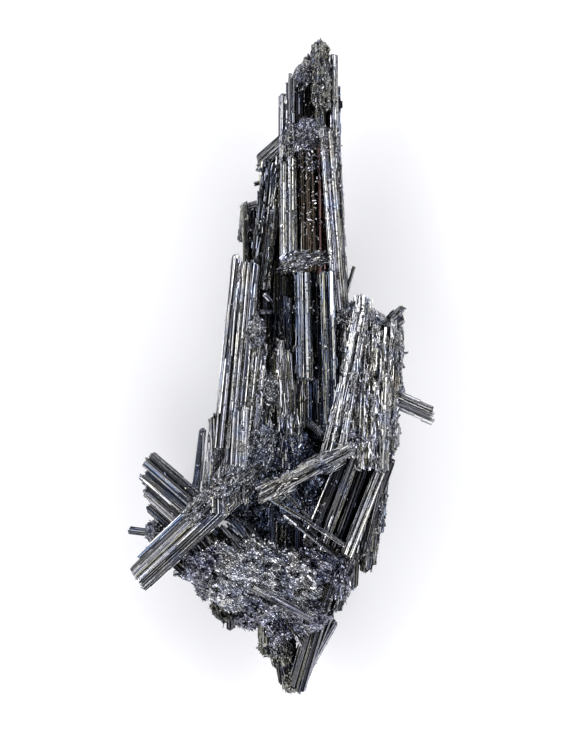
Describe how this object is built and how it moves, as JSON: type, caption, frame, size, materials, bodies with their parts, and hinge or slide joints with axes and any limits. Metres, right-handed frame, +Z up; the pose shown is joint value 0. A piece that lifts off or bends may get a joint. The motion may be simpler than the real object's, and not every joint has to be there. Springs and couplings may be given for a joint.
{
  "type": "stibnite crystal spray",
  "caption": "Spray of long striated metallic crystals with rods and crusts, grown from one root mass, lying on its back.",
  "frame": {"origin": "on the floor, under the middle of the spray's bounding box", "axes": "+Y along the spray towards the tip of its spire, +X to its right, +Z up out of its front"},
  "size_m": [0.0629, 0.1318, 0.0287],
  "materials": {
    "stibnite": "metallic lead grey, bright on cleavage faces, with bluish and brownish tarnish"
  },
  "bodies": {
    "root": {"stibnite_spray": "stibnite"}
  },
  "joints": []
}
